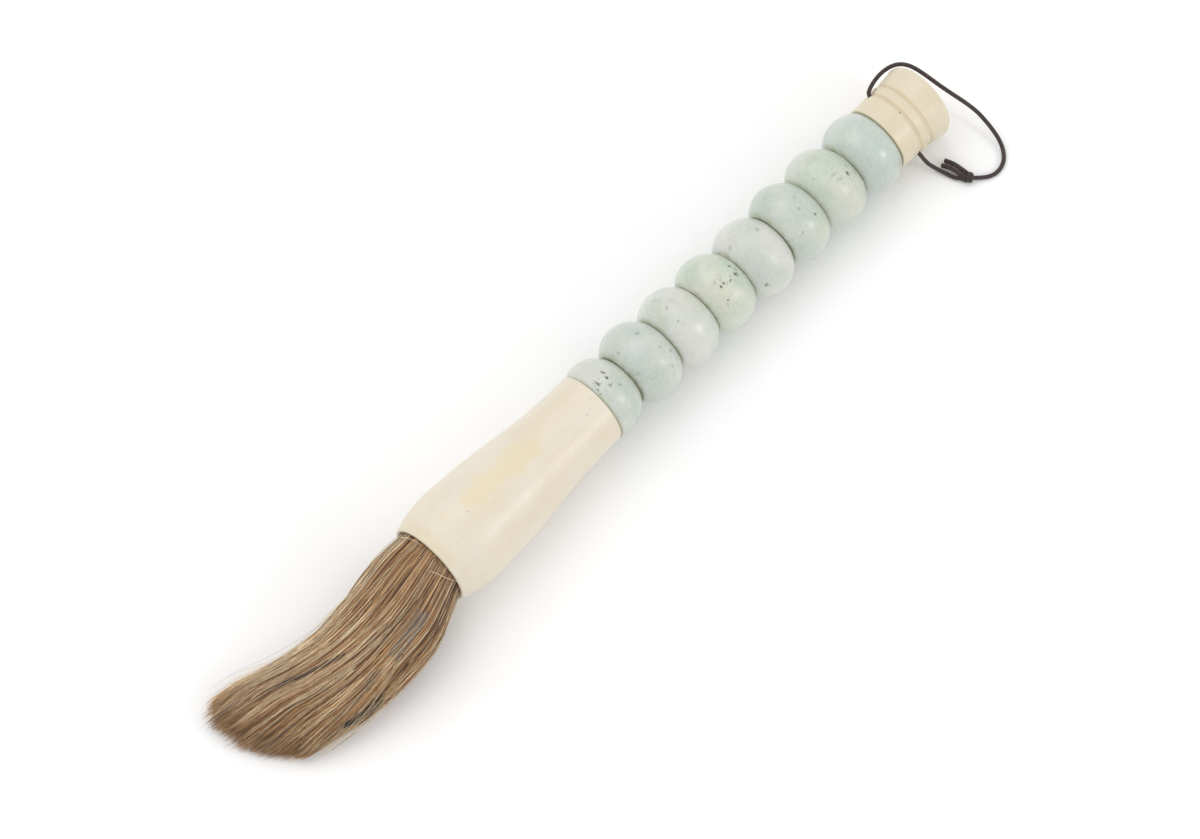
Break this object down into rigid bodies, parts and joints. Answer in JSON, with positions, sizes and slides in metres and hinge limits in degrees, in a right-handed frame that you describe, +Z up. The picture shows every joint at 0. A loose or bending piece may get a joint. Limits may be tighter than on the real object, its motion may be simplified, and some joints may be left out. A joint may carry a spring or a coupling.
{
  "type": "calligraphy brush",
  "caption": "Large Chinese calligraphy brush: hair tuft in a turned bone ferrule, jade bead handle on a hidden wooden rod, turned bone cap and a knotted cord loop to hang it by.",
  "frame": {"origin": "middle of the footprint of the brush without its cord, on the table that it lies on", "axes": "+X along the brush from the hair to the cap, +Z up, +Y to the side that the hair's tip curls to"},
  "size_m": [0.3446, 0.0573, 0.0366],
  "materials": {
    "bone": "cream bone, turned and polished to a satin gloss",
    "jade": "pale grey-green mottled serpentine with dark specks, polished",
    "wood": "plain wooden dowel",
    "rosin": "amber rosin and glue",
    "thread": "waxed binding thread",
    "hair": "tan and brown animal hair with light and dark streaks",
    "glue": "thin dark olive glue",
    "cord": "black-brown braided cord, lightly waxed"
  },
  "bodies": {
    "root": {"ferrule": "bone", "cap": "bone", "handle_rod": "wood", "root_plug": "rosin", "root_binding": "thread", "hair_root": "hair", "ferrule_glue_line": "glue", "cap_glue_line": "glue", "bead_glue_1": "glue", "bead_glue_2": "glue", "bead_glue_3": "glue", "bead_glue_4": "glue", "bead_glue_5": "glue", "bead_glue_6": "glue", "bead_glue_7": "glue", "jade_bead_1": "jade", "jade_bead_2": "jade", "jade_bead_3": "jade", "jade_bead_4": "jade", "jade_bead_5": "jade", "jade_bead_6": "jade", "jade_bead_7": "jade", "jade_bead_8": "jade"},
    "tuft": {"hair_mantle": "hair", "hair_core": "hair"},
    "loop": {"hang_cord": "cord", "cord_knot": "cord", "cord_tail_a": "cord", "cord_tail_b": "cord"}
  },
  "joints": [
    {"name": "tuft_bend", "type": "hinge", "parent": "root", "child": "tuft", "pos_m": [-0.09235, -0.0015, 0.01], "axis": [0, 0, 1], "range_deg": [-30, 30], "stiffness_Nm_per_rad": 0.1},
    {"name": "loop_swing", "type": "hinge", "parent": "root", "child": "loop", "pos_m": [0.15087, 0, 0.01468], "axis": [0, -0.9063, -0.4226], "range_deg": [0, 120]}
  ]
}
